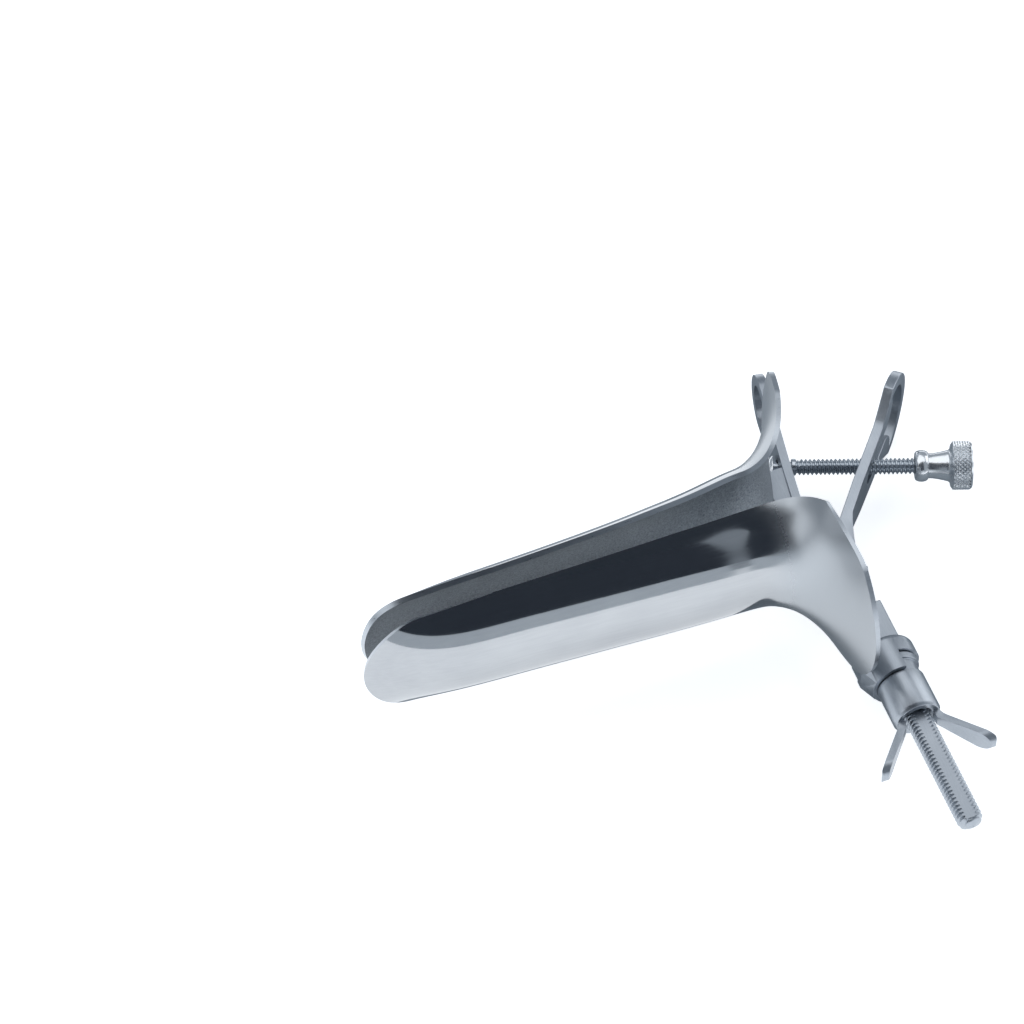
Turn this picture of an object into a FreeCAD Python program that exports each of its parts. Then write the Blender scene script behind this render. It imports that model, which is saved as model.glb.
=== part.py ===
import FreeCAD, Part
import os

import Sketcher
from FreeCAD import Placement, Rotation, Vector

# Bivalve speculum with one-sided mechanism, millimetres.
# Origin: centre of the main hinge, in the plane of the post and the levers.
# +X runs from the blade tips to the levers' side, +Y from the lower to the upper blade,
# +Z from the mechanism to the open side of the mouth.

SIZES = {
    # blades
    "sheet": 1.2,
    "rim_half_width": 23.5,
    "rim_overhang": 1.5,
    "mid_height": "=rim_half_width - rim_overhang",
    "tip_reach": 115.6,
    "tip_half_width": 14.6,
    "base_half_width": 16.4,
    "trough_depth": 6.7,
    "throat_reach": 26.0,
    "bend_reach": 13.5,
    "rim_corner": 5.0,
    "lower_rim_reach": 9.0,
    "lower_swell": 0.62,
    "lower_tip_edge": -1.0,
    "lower_throat_edge": 0.3,
    "lower_corner_y": -11.0,
    "lower_rim_y": -34.6,
    "upper_tip_reach": 113.6,
    "upper_rim_reach": 7.0,
    "upper_swell": 0.25,
    "upper_rim_half_width": 22.0,
    "upper_tip_edge": 4.8,
    "upper_throat_edge": 10.4,
    "upper_corner_y": 33.5,
    "upper_rim_y": 37.8,
    # post
    "post_radius": 2.95,
    "post_thickness": 4.0,
    "post_end": 70.2,
    "block_half_width": 4.3,
    "block_top": 8.0,
    "block_end": 22.0,
    "tongue_half_width": 2.7,
    "tongue_thickness": 3.2,
    # hinge
    "pin_radius": 1.5,
    "pin_head_radius": 2.7,
    "pin_head_height": 0.8,
    "running_fit": 0.05,
    "side_gap": 0.15,
    "knuckle_radius": 4.2,
    "cheek": 1.8,
    "ear": 1.8,
    # rear lever
    "rear_lean": 39.3,
    "rear_offset": 5.7,
    "rear_thickness": 2.4,
    "rear_tip": 61.4,
    "rear_loop_half_width": 12.0,
    "rear_neck_half_width": 5.4,
    "rear_rim": 2.9,
    "rear_slot_start": 29.8,
    "rear_step": 45.5,
    # front lever
    "front_lean": 8.2,
    "front_offset": 6.9,
    "front_thickness": 2.0,
    "front_tip": 63.8,
    "front_loop_half_width": 7.6,
    "front_rim": 2.6,
    "front_slot_start": 43.0,
    "pivot_height": 36.6,
    "pivot_hole_radius": 2.0,
    "bracket_low": 17.0,
    "bracket_high": 29.5,
    # collar
    "collar_radius": 6.6,
    "collar_top": 20.2,
    "collar_end": 30.0,
    "collar_round": 1.8,
    "slot_top": 25.2,
    "slot_end": 27.2,
    "lip_edge": 1.1,
    "web_half_height": 3.2,
    "web_drop": 2.4,
    # wing nut
    "flange_radius": 5.9,
    "neck_radius": 5.2,
    "hub_radius": 5.6,
    "hub_end": 40.2,
    "hub_chamfer": 0.9,
    "nut_gap": 0.2,
    "wing_root": 3.5,
    "wing_strip": 1.4,
    "wing_reach": 13.4,
    "wing_end": 52.4,
    "wing_tip_half_width": 2.7,
    "wing_root_half_width": 1.4,
    # clamp rod and thumb nut
    "rod_droop": 19.9,
    "rod_radius": 1.92,
    "rod_neck_radius": 1.3,
    "rod_ring_radius": 2.5,
    "rod_ring_start": 2.1,
    "rod_ring_width": 1.2,
    "rod_thread_start": 5.5,
    "rod_end": 43.2,
    "rivet_radius": 2.9,
    "rivet_start": 2.2,
    "rivet_height": 1.3,
    "cap_radius": 2.6,
    "cap_height": 1.0,
    "thumb_start": 31.2,
    "bead_radius": 3.75,
    "bead_width": 3.1,
    "cone_small_radius": 2.95,
    "cone_large_radius": 3.65,
    "head_start": 8.4,
    "head_radius": 5.75,
    "head_width": 4.9,
    "recess_radius": 3.1,
    "recess_depth": 2.6,
}

doc = FreeCAD.newDocument("speculum")
sheet = doc.addObject("Spreadsheet::Sheet", "Sizes")
for row, (alias, value) in enumerate(SIZES.items(), start=1):
    sheet.set("A%d" % row, alias)
    sheet.set("B%d" % row, str(value))
    sheet.setAlias("B%d" % row, alias)
doc.recompute()


def size(obj, formula):
    """Returns the number that a formula of the sheet's sizes gives now."""
    return float(obj.evalExpression(formula))


def with_sheet(formula):
    """Puts the sheet's name before each size in a formula."""
    words = []
    word = ""
    for letter in formula + " ":
        if letter.isalpha() or letter == "_":
            word += letter
            continue
        words.append("Sizes." + word if word in SIZES else word)
        words.append(letter)
        word = ""
    return "".join(words).strip()


def bind(obj, **formulas):
    """Binds properties of an object to formulas of the sheet's sizes."""
    for name, formula in formulas.items():
        obj.setExpression(name, with_sheet(formula))


def hold(sketch, geometry, end, x_formula, y_formula):
    """Ties one point of a sketch to its two coordinates."""
    for kind, formula in (("DistanceX", x_formula), ("DistanceY", y_formula)):
        formula = with_sheet(formula)
        value = size(sketch, formula)
        number = sketch.addConstraint(Sketcher.Constraint(kind, -1, 1, geometry, end, value))
        sketch.setExpression("Constraints[%d]" % number, formula)


def outline(sketch, start, *steps, closed=True):
    """Draws lines (x, y) and arcs (via_x, via_y, x, y) from point to point."""
    at = lambda x, y: Vector(size(sketch, with_sheet(x)), size(sketch, with_sheet(y)), 0)
    first = None
    last = None
    here = start
    for step in steps:
        a = at(*here)
        b = at(*step[-2:])
        if len(step) == 2:
            number = sketch.addGeometry(Part.LineSegment(a, b), False)
            ends = (1, 2)
        else:
            via = at(*step[:2])
            number = sketch.addGeometry(Part.Arc(a, via, b), False)
            turn = (via - a).cross(b - via).z
            ends = (1, 2) if turn > 0 else (2, 1)
            mark = sketch.addGeometry(Part.Point(via), True)
            hold(sketch, mark, 1, *step[:2])
            sketch.addConstraint(Sketcher.Constraint("PointOnObject", mark, 1, number))
        if last is None:
            first = (number, ends[0])
            if not closed:
                hold(sketch, number, ends[0], *start)
        else:
            sketch.addConstraint(Sketcher.Constraint("Coincident", last[0], last[1], number, ends[0]))
        hold(sketch, number, ends[1], *step[-2:])
        last = (number, ends[1])
        here = step[-2:]
    if closed:
        sketch.addConstraint(Sketcher.Constraint("Coincident", last[0], last[1], first[0], first[1]))


def circle(sketch, x_formula, y_formula, radius_formula):
    """Draws a circle about a held centre."""
    centre = Vector(size(sketch, with_sheet(x_formula)), size(sketch, with_sheet(y_formula)), 0)
    radius = size(sketch, with_sheet(radius_formula))
    number = sketch.addGeometry(Part.Circle(centre, Vector(0, 0, 1), radius), False)
    hold(sketch, number, 3, x_formula, y_formula)
    held = sketch.addConstraint(Sketcher.Constraint("Radius", number, radius))
    sketch.setExpression("Constraints[%d]" % held, with_sheet(radius_formula))


def new_body(label):
    """Starts a body whose label names its node."""
    body = doc.addObject("PartDesign::Body", label)
    body.Label = label
    return body


def sketch_on(body, plane, name):
    """Starts a sketch on one of the body's own origin planes."""
    sketch = body.newObject("Sketcher::SketchObject", name)
    for feature in body.Origin.OriginFeatures:
        if feature.Role == plane:
            sketch.AttachmentSupport = (feature, "")
    sketch.MapMode = "FlatFace"
    return sketch


def pad(body, sketch, name, thickness):
    """Pads a sketch to both sides of its plane."""
    feature = body.newObject("PartDesign::Pad", name)
    feature.Profile = sketch
    feature.SideType = "Symmetric"
    bind(feature, Length=thickness)
    doc.recompute()
    return feature


def pocket(body, sketch, name, thickness):
    """Cuts a sketch to both sides of its plane, and checks that it cut."""
    before = body.Shape.Volume
    feature = body.newObject("PartDesign::Pocket", name)
    feature.Profile = sketch
    feature.SideType = "Symmetric"
    bind(feature, Length=thickness)
    doc.recompute()
    if body.Shape.Volume >= before:
        raise RuntimeError("%s cuts nothing" % name)
    return feature


def revolve(body, sketch, name, axis="V_Axis"):
    """Turns a half profile about one of its sketch axes."""
    feature = body.newObject("PartDesign::Revolution", name)
    feature.Profile = sketch
    feature.ReferenceAxis = (sketch, [axis])
    feature.Angle = 360
    doc.recompute()
    return feature


# Plane XY carries side views (x, y), YZ carries the levers' front views (y, z)
# and XZ carries the blades' plan (x, z).

def make_post():
    """Flat-sided post: hinge tongue, guide block and domed threaded stem."""
    body = new_body("slide_post")
    stem = sketch_on(body, "XY_Plane", "stem_profile")
    outline(
        stem,
        ("0", "-block_end + 1"),
        ("post_radius", "-block_end + 1"),
        ("post_radius", "-post_end + post_radius * 0.7"),
        ("post_radius * 0.72", "-post_end + post_radius * 0.2", "0", "-post_end"),
        ("0", "-block_end + 1"),
    )
    revolve(body, stem, "stem")
    flats = sketch_on(body, "YZ_Plane", "flats")
    for side in ("", "-"):
        outline(
            flats,
            ("-post_end - 1", side + "post_thickness / 2"),
            ("-block_end + 2", side + "post_thickness / 2"),
            ("-block_end + 2", side + "post_radius * 1.5"),
            ("-post_end - 1", side + "post_radius * 1.5"),
            ("-post_end - 1", side + "post_thickness / 2"),
        )
    pocket(body, flats, "stem_flats", "post_radius * 4")
    block = sketch_on(body, "XY_Plane", "block_outline")
    outline(
        block,
        ("-block_half_width", "-block_end"),
        ("block_half_width", "-block_end"),
        ("block_half_width", "-block_top"),
        ("-block_half_width", "-block_top"),
        ("-block_half_width", "-block_end"),
    )
    pad(body, block, "guide_block", "post_thickness")
    tongue = sketch_on(body, "XY_Plane", "tongue_outline")
    outline(
        tongue,
        ("-tongue_half_width", "-block_top - 1"),
        ("tongue_half_width", "-block_top - 1"),
        ("tongue_half_width", "0"),
        ("0", "tongue_half_width", "-tongue_half_width", "0"),
        ("-tongue_half_width", "-block_top - 1"),
    )
    pad(body, tongue, "tongue", "tongue_thickness")
    hole = sketch_on(body, "XY_Plane", "pin_hole_outline")
    circle(hole, "0", "0", "pin_radius")
    pocket(body, hole, "pin_hole", "tongue_thickness * 2")
    return body


def lever_side(body, offset, thickness, tip, width):
    """Side view of a lever: knuckle round the hinge, then a plate beside the hinge line."""
    side = sketch_on(body, "XY_Plane", "side_view")
    outline(
        side,
        ("-%s - %s / 2" % (offset, thickness), tip),
        ("-%s - %s / 2" % (offset, thickness), "knuckle_radius * 3.2"),
        (
            "-%s * 0.5 - %s / 2 - knuckle_radius * 0.52" % (offset, thickness),
            "knuckle_radius * 1.7",
            "-knuckle_radius",
            "0",
        ),
        ("0", "-knuckle_radius", "knuckle_radius", "0"),
        (
            "-%s * 0.55 + %s / 2 + knuckle_radius * 0.28" % (offset, thickness),
            "knuckle_radius * 1.9",
            "-%s + %s / 2" % (offset, thickness),
            "knuckle_radius * 4.2",
        ),
        ("-%s + %s / 2" % (offset, thickness), tip),
        ("-%s - %s / 2" % (offset, thickness), tip),
    )
    return pad(body, side, "plate", width)


def make_rear_lever():
    """Rear finger loop: forked knuckle, narrow slot for the rod, wide loop above a step."""
    body = new_body("rear_lever")
    lever_side(body, "rear_offset", "rear_thickness", "rear_tip", "rear_loop_half_width * 2")
    front = sketch_on(body, "YZ_Plane", "front_view")
    far = "knuckle_radius * 9"
    knuckle = "tongue_thickness / 2 + cheek"
    for side in ("", "-"):
        outline(
            front,
            ("-knuckle_radius - 1", side + "(%s)" % knuckle),
            ("knuckle_radius * 3.6", side + "(%s)" % knuckle),
            ("knuckle_radius * 6", side + "rear_neck_half_width"),
            ("rear_step - 4", side + "(rear_neck_half_width + 0.9)"),
            (
                "rear_step + 1.5",
                side + "(rear_loop_half_width * 0.84)",
                "rear_tip - rear_loop_half_width",
                side + "rear_loop_half_width",
            ),
            (
                "rear_tip - rear_loop_half_width * 0.293",
                side + "(rear_loop_half_width * 0.707)",
                "rear_tip",
                "0",
            ),
            ("rear_tip + 2", "0"),
            ("rear_tip + 2", side + far),
            ("-knuckle_radius - 1", side + far),
            ("-knuckle_radius - 1", side + "(%s)" % knuckle),
        )
    pocket(body, front, "front_outline", "rear_tip * 2")
    slot = sketch_on(body, "YZ_Plane", "keyhole")
    half = "rod_radius + 0.3"
    wide = "rear_loop_half_width - rear_rim"
    outline(
        slot,
        ("rear_step", "-(%s)" % half),
        ("rear_slot_start + %s" % half, "-(%s)" % half),
        ("rear_slot_start", "0", "rear_slot_start + %s" % half, half),
        ("rear_step", half),
        (
            "rear_step + (%s) * 0.45" % wide,
            "(%s) * 0.8" % wide,
            "rear_tip - rear_loop_half_width",
            wide,
        ),
        (
            "rear_tip - rear_rim",
            "0",
            "rear_tip - rear_loop_half_width",
            "-(%s)" % wide,
        ),
        (
            "rear_step + (%s) * 0.45" % wide,
            "-(%s) * 0.8" % wide,
            "rear_step",
            "-(%s)" % half,
        ),
    )
    pocket(body, slot, "keyhole_slot", "rear_tip * 2")
    fork = sketch_on(body, "XY_Plane", "fork_outline")
    outline(
        fork,
        ("-knuckle_radius * 2", "-knuckle_radius - 1"),
        ("knuckle_radius * 2", "-knuckle_radius - 1"),
        ("knuckle_radius * 2", "tongue_half_width + 0.8"),
        ("-knuckle_radius * 2", "tongue_half_width + 0.8"),
        ("-knuckle_radius * 2", "-knuckle_radius - 1"),
    )
    pocket(body, fork, "fork", "tongue_thickness")
    hole = sketch_on(body, "XY_Plane", "pin_hole_outline")
    circle(hole, "0", "0", "pin_radius")
    pocket(body, hole, "pin_hole", "tongue_thickness * 6")
    body.setExpression("Placement.Rotation.Angle", with_sheet("-rear_lean"))
    return body


def make_front_lever():
    """Front finger loop: two ears astride the rear knuckle, rod hole and long slot."""
    body = new_body("front_lever")
    lever_side(body, "front_offset", "front_thickness", "front_tip", "front_loop_half_width * 2")
    front = sketch_on(body, "YZ_Plane", "front_view")
    base = "tongue_thickness / 2 + cheek + side_gap + ear"
    for side in ("", "-"):
        outline(
            front,
            ("-knuckle_radius - 1", side + "(%s)" % base),
            ("pivot_height - 4", side + "(%s)" % base),
            (
                "front_tip - front_loop_half_width",
                side + "front_loop_half_width",
            ),
            (
                "front_tip - front_loop_half_width * 0.293",
                side + "(front_loop_half_width * 0.707)",
                "front_tip",
                "0",
            ),
            ("front_tip + 2", "0"),
            ("front_tip + 2", side + "knuckle_radius * 9"),
            ("-knuckle_radius - 1", side + "knuckle_radius * 9"),
            ("-knuckle_radius - 1", side + "(%s)" % base),
        )
    pocket(body, front, "front_outline", "front_tip * 2")
    slot = sketch_on(body, "YZ_Plane", "loop_slot")
    wide = "front_loop_half_width - front_rim"
    low = "%s - 1.6" % wide
    outline(
        slot,
        ("front_tip - front_loop_half_width", "-(%s)" % wide),
        ("front_slot_start + %s" % low, "-(%s)" % low),
        ("front_slot_start", "0", "front_slot_start + %s" % low, low),
        ("front_tip - front_loop_half_width", wide),
        ("front_tip - front_rim", "0", "front_tip - front_loop_half_width", "-(%s)" % wide),
    )
    pocket(body, slot, "finger_slot", "front_tip * 2")
    rod_hole = sketch_on(body, "YZ_Plane", "rod_hole_outline")
    circle(rod_hole, "pivot_height", "0", "pivot_hole_radius")
    pocket(body, rod_hole, "rod_hole", "front_offset * 4")
    gap = sketch_on(body, "XY_Plane", "ear_gap_outline")
    outline(
        gap,
        ("-knuckle_radius * 3", "-knuckle_radius - 1"),
        ("knuckle_radius * 3", "-knuckle_radius - 1"),
        ("knuckle_radius * 3", "knuckle_radius * 2.8"),
        ("-knuckle_radius * 3", "knuckle_radius * 2.8"),
        ("-knuckle_radius * 3", "-knuckle_radius - 1"),
    )
    pocket(body, gap, "ear_gap", "tongue_thickness + (cheek + side_gap) * 2")
    hole = sketch_on(body, "XY_Plane", "pin_hole_outline")
    circle(hole, "0", "0", "pin_radius + running_fit")
    pocket(body, hole, "pin_hole", "tongue_thickness * 6")
    body.setExpression("Placement.Rotation.Angle", with_sheet("-front_lean"))
    return body


def make_hinge_pin():
    """Hinge pin with a low head outside each ear of the front lever."""
    body = new_body("hinge_pin")
    profile = sketch_on(body, "XZ_Plane", "half_profile")
    ear_face = "tongue_thickness / 2 + cheek + side_gap + ear + side_gap"
    outline(
        profile,
        ("0", "-(%s) - pin_head_height" % ear_face),
        ("pin_head_radius * 0.7", "-(%s) - pin_head_height" % ear_face),
        ("pin_head_radius", "-(%s) - pin_head_height * 0.4" % ear_face),
        ("pin_head_radius", "-(%s)" % ear_face),
        ("pin_radius", "-(%s)" % ear_face),
        ("pin_radius", ear_face),
        ("pin_head_radius", ear_face),
        ("pin_head_radius", "%s + pin_head_height * 0.4" % ear_face),
        ("pin_head_radius * 0.7", "%s + pin_head_height" % ear_face),
        ("0", "%s + pin_head_height" % ear_face),
        ("0", "-(%s) - pin_head_height" % ear_face),
    )
    revolve(body, profile, "pin")
    return body


def blade_section(name, reach, half_width, edge, depth):
    """One cross arc of a blade, standing across the blade at a distance before the hinge."""
    sketch = doc.addObject("Sketcher::SketchObject", name)
    sketch.Placement = Placement(Vector(0, 0, 0), Rotation(Vector(1, 1, 1), 120))
    bind(sketch, **{"Placement.Base.x": "-(%s)" % reach, "Placement.Base.z": "mid_height"})
    outline(
        sketch,
        (edge, "-(%s)" % half_width),
        (depth, "0", edge, half_width),
        closed=False,
    )
    return sketch


def make_blade(label, side, names, trough_count=10, flare_count=5):
    """Spoon-tipped trough that flares into the mouth; side is -1 below and 1 above.

    The names are the sizes of the blade's tip reach, rim reach, rim half width, edge height
    at the tip and the throat, corner and crown height of the rim, and the share by which the
    trough grows deeper towards the throat. The counts are those
    of the cross arcs along the trough and the flare.
    """
    tip, rim, rim_half, tip_edge, throat_edge, corner, crown, swell = names
    sign = "-" if side < 0 else ""
    sections = []
    for number in range(trough_count):
        along = number / trough_count
        reach = "(%s + 1) * %g + throat_reach * %g" % (tip, 1 - along, along)
        rise = 0.45 * along + 0.55 * along**5
        edge = "%s * %g + %s * %g" % (tip_edge, 1 - rise, throat_edge, rise)
        fullness = 1 - 0.86 * max(0.0, 1 - 3.4 * along) ** 2
        deepening = "%g + %s * %g" % (fullness, swell, along**1.4)
        half_width = "tip_half_width + (base_half_width - tip_half_width) * %g" % min(1, along * 1.25)
        depth = "%s + (%strough_depth) * (%s)" % (edge, sign, deepening)
        name = "%s_trough_%d" % (label, number)
        sections.append(blade_section(name, reach, half_width, edge, depth))
    for number in range(flare_count + 1):
        along = number / flare_count
        reach = "throat_reach * %g + bend_reach * %g + %s * %g" % (
            (1 - along) ** 2,
            2 * along * (1 - along),
            rim,
            along**2,
        )
        half_width = "base_half_width * %g + %s * %g" % (1 - along**1.8, rim_half, along**1.8)
        edge = "%s * %g + (%s) * %g" % (throat_edge, 1 - along**2.7, corner, along**2.7)
        depth = "(%s + (%strough_depth) * (1 + %s)) * %g + (%s) * %g" % (
            throat_edge,
            sign,
            swell,
            1 - along**2,
            crown,
            along**2,
        )
        name = "%s_flare_%d" % (label, number)
        sections.append(blade_section(name, reach, half_width, edge, depth))
    doc.recompute()
    skin = doc.addObject("Part::Loft", label + "_skin")
    skin.Sections = sections
    skin.Solid = False
    skin.Ruled = False
    skin.Closed = False
    skin.MaxDegree = 2
    plan = doc.addObject("Sketcher::SketchObject", label + "_plan")
    plan.Placement = Placement(Vector(0, 0, 0), Rotation(Vector(1, 0, 0), 90))
    outline(
        plan,
        ("-%s + tip_half_width" % tip, "mid_height + tip_half_width"),
        (
            "-%s" % tip,
            "mid_height",
            "-%s + tip_half_width" % tip,
            "mid_height - tip_half_width",
        ),
        ("-%s + tip_half_width + 1" % tip, "mid_height - tip_half_width * 2"),
        ("-%s - rim_corner" % rim, "mid_height - tip_half_width * 2"),
        ("-%s - rim_corner" % rim, "mid_height - %s" % rim_half),
        (
            "-%s - rim_corner * 0.293" % rim,
            "mid_height - %s + rim_corner * 0.293" % rim_half,
            "-%s" % rim,
            "mid_height - %s + rim_corner" % rim_half,
        ),
        ("-%s + sheet" % rim, "mid_height - %s + rim_corner" % rim_half),
        ("-%s + sheet" % rim, "mid_height + %s - rim_corner" % rim_half),
        ("-%s" % rim, "mid_height + %s - rim_corner" % rim_half),
        (
            "-%s - rim_corner * 0.293" % rim,
            "mid_height + %s - rim_corner * 0.293" % rim_half,
            "-%s - rim_corner" % rim,
            "mid_height + %s" % rim_half,
        ),
        ("-%s - rim_corner" % rim, "mid_height + tip_half_width * 2"),
        ("-%s + tip_half_width + 1" % tip, "mid_height + tip_half_width * 2"),
        ("-%s + tip_half_width" % tip, "mid_height + tip_half_width"),
    )
    prism = doc.addObject("Part::Extrusion", label + "_prism")
    prism.Base = plan
    prism.DirMode = "Normal"
    prism.Solid = True
    prism.Symmetric = True
    bind(prism, LengthFwd="tip_reach * 2")
    trimmed = doc.addObject("Part::Common", label + "_trimmed")
    trimmed.Base = skin
    trimmed.Tool = prism
    blade = doc.addObject("Part::Offset", label)
    blade.Source = trimmed
    blade.Fill = True
    bind(blade, Value="sheet" if side < 0 else "-sheet")
    blade.Label = label
    doc.recompute()
    return blade


def make_bracket():
    """Foot that joins the upper blade's mouth to the front lever's plate."""
    body = new_body("blade_bracket")
    profile = sketch_on(body, "XY_Plane", "foot_outline")
    face = "front_offset + front_thickness / 2"
    at = lambda along: (
        "-(%s) * cos(front_lean * 1 deg) + %s * sin(front_lean * 1 deg)" % (face, along),
        "(%s) * sin(front_lean * 1 deg) + %s * cos(front_lean * 1 deg)" % (face, along),
    )
    outline(
        profile,
        at("bracket_low"),
        at("bracket_high"),
        ("-upper_rim_reach + sheet - 0.2", "bracket_high + 0.3"),
        ("-upper_rim_reach - 0.4", "bracket_high * 0.8 + bracket_low * 0.1"),
        ("-upper_rim_reach - 2.0", "bracket_low + 3.4"),
        at("bracket_low"),
    )
    pad(body, profile, "foot", "web_half_height * 2")
    return body


def make_collar():
    """Collar that slides on the post; its side slot holds the flange of the wing nut."""
    body = new_body("slide_collar")
    ring = sketch_on(body, "XY_Plane", "ring_profile")
    outline(
        ring,
        ("0", "-collar_end"),
        ("collar_radius", "-collar_end"),
        ("collar_radius", "-collar_top - collar_round"),
        (
            "collar_radius - collar_round * 0.293",
            "-collar_top - collar_round * 0.293",
            "collar_radius - collar_round",
            "-collar_top",
        ),
        ("0", "-collar_top"),
        ("0", "-collar_end"),
    )
    revolve(body, ring, "ring")
    web = sketch_on(body, "XY_Plane", "web_outline")
    outline(
        web,
        ("-lower_rim_reach - 0.5", "-collar_end + web_drop"),
        ("-collar_radius * 0.9", "-collar_end"),
        ("-collar_radius * 0.6", "-collar_end"),
        ("-collar_radius * 0.6", "-collar_top - collar_round"),
        ("-collar_radius", "-collar_top - collar_round"),
        ("-lower_rim_reach + sheet + 0.3", "-collar_top"),
        ("-lower_rim_reach + sheet + 0.3", "-collar_end + web_drop + 1.7"),
        ("-lower_rim_reach - 0.5", "-collar_end + web_drop + 1.7"),
        ("-lower_rim_reach - 0.5", "-collar_end + web_drop"),
    )
    pad(body, web, "web", "web_half_height * 2")
    chamber = sketch_on(body, "XZ_Plane", "chamber_outline")
    reach = "flange_radius + nut_gap / 2"
    outline(
        chamber,
        ("collar_radius + 1", reach),
        ("0", reach),
        ("-(%s)" % reach, "0", "0", "-(%s)" % reach),
        ("collar_radius + 1", "-(%s)" % reach),
        ("collar_radius + 1", reach),
    )
    cut_between(body, chamber, "chamber", "slot_top", "slot_end")
    throat = sketch_on(body, "XZ_Plane", "throat_outline")
    reach = "neck_radius + nut_gap"
    outline(
        throat,
        ("collar_radius + 1", reach),
        ("0", reach),
        ("-(%s)" % reach, "0", "0", "-(%s)" % reach),
        ("collar_radius + 1", "-(%s)" % reach),
        ("collar_radius + 1", reach),
    )
    cut_between(body, throat, "throat", "slot_end - 0.1", "collar_end + 1")
    window = sketch_on(body, "XZ_Plane", "window_outline")
    outline(
        window,
        ("lip_edge", "collar_radius + 1"),
        ("lip_edge", "-collar_radius - 1"),
        ("collar_radius + 1", "-collar_radius - 1"),
        ("collar_radius + 1", "collar_radius + 1"),
        ("lip_edge", "collar_radius + 1"),
    )
    cut_between(body, window, "window", "slot_top", "collar_end + 1")
    bore = sketch_on(body, "XZ_Plane", "bore_outline")
    half = "block_half_width + running_fit"
    tall = "post_thickness / 2 + running_fit"
    outline(
        bore,
        (half, tall),
        ("-(%s)" % half, tall),
        ("-(%s)" % half, "-(%s)" % tall),
        (half, "-(%s)" % tall),
        (half, tall),
    )
    cut_between(body, bore, "bore", "collar_top - 1", "slot_top + 0.1")
    return body


def cut_between(body, sketch, name, near, far):
    """Cuts a sketch of the XZ plane between two distances below the hinge."""
    before = body.Shape.Volume
    feature = body.newObject("PartDesign::Pocket", name)
    feature.Profile = sketch
    bind(sketch, **{"AttachmentOffset.Base.z": near})
    bind(feature, Length="%s - (%s)" % (far, near))
    feature.Reversed = True
    doc.recompute()
    if body.Shape.Volume >= before:
        raise RuntimeError("%s cuts nothing" % name)


def make_wing_nut():
    """Hub of the wing nut: flange, neck, plain barrel and countersunk bore."""
    body = new_body("wing_nut")
    profile = sketch_on(body, "XY_Plane", "half_profile")
    bore = "post_radius + running_fit"
    outline(
        profile,
        (bore, "-slot_top - nut_gap"),
        ("flange_radius", "-slot_top - nut_gap"),
        ("flange_radius", "-slot_end + nut_gap"),
        ("neck_radius", "-slot_end + nut_gap"),
        ("neck_radius", "-collar_end - nut_gap"),
        ("hub_radius", "-collar_end - nut_gap"),
        ("hub_radius", "-hub_end + hub_chamfer"),
        ("hub_radius - hub_chamfer * 0.6", "-hub_end"),
        ("post_radius + 0.8", "-hub_end"),
        (bore, "-hub_end + 1.1"),
        (bore, "-slot_top - nut_gap"),
    )
    revolve(body, profile, "barrel")
    return body


def make_wings():
    """Two thin strips, bent outwards and widened to round tips, on the end of the hub."""
    body = new_body("wing_strip")
    side = sketch_on(body, "XY_Plane", "strip_side")
    lean = "wing_strip * 0.8"
    outline(
        side,
        ("wing_root", "-hub_end"),
        ("wing_root + wing_strip", "-hub_end"),
        ("wing_root + wing_strip + 0.5", "-hub_end - 1.2"),
        ("wing_reach", "-wing_end + %s" % lean),
        (
            "wing_reach + wing_strip * 0.1",
            "-wing_end + wing_strip * 0.3",
            "wing_reach - %s" % lean,
            "-wing_end",
        ),
        ("wing_root + 0.2", "-hub_end - 1.9"),
        ("wing_root", "-hub_end"),
    )
    pad(body, side, "strip", "wing_tip_half_width * 2")
    front = sketch_on(body, "YZ_Plane", "strip_front")
    for sign in ("", "-"):
        outline(
            front,
            ("-hub_end + 1", sign + "wing_root_half_width"),
            ("-hub_end - 2", sign + "wing_root_half_width"),
            ("-wing_end + wing_tip_half_width", sign + "wing_tip_half_width"),
            (
                "-wing_end + wing_tip_half_width * 0.293",
                sign + "(wing_tip_half_width * 0.707)",
                "-wing_end",
                "0",
            ),
            ("-wing_end - 1", "0"),
            ("-wing_end - 1", sign + "(wing_tip_half_width + 1)"),
            ("-hub_end + 1", sign + "(wing_tip_half_width + 1)"),
            ("-hub_end + 1", sign + "wing_root_half_width"),
        )
    pocket(body, front, "strip_outline", "wing_reach * 4")
    mirror = doc.addObject("Part::Mirroring", "wing_strip_mirrored")
    mirror.Source = body
    mirror.Normal = Vector(1, 0, 0)
    pair = doc.addObject("Part::Compound", "nut_wings")
    pair.Links = [body, mirror]
    pair.Label = "nut_wings"
    doc.recompute()
    return pair


def on_rod(obj):
    """Places a piece that is modelled along X on the rod, at its pivot in the front lever."""
    bind(
        obj,
        **{
            "Placement.Rotation.Angle": "-rod_droop",
            "Placement.Base.x": "pivot_height * sin(front_lean * 1 deg)"
            " - front_offset * cos(front_lean * 1 deg)",
            "Placement.Base.y": "pivot_height * cos(front_lean * 1 deg)"
            " + front_offset * sin(front_lean * 1 deg)",
        },
    )
    return obj


def turned(label, start, *steps):
    """Turned piece on the rod's axis: its half profile runs in (along, radius)."""
    body = new_body(label)
    profile = sketch_on(body, "XY_Plane", "half_profile")
    outline(profile, start, *steps)
    revolve(body, profile, "turning", "H_Axis")
    return on_rod(body)


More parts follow.
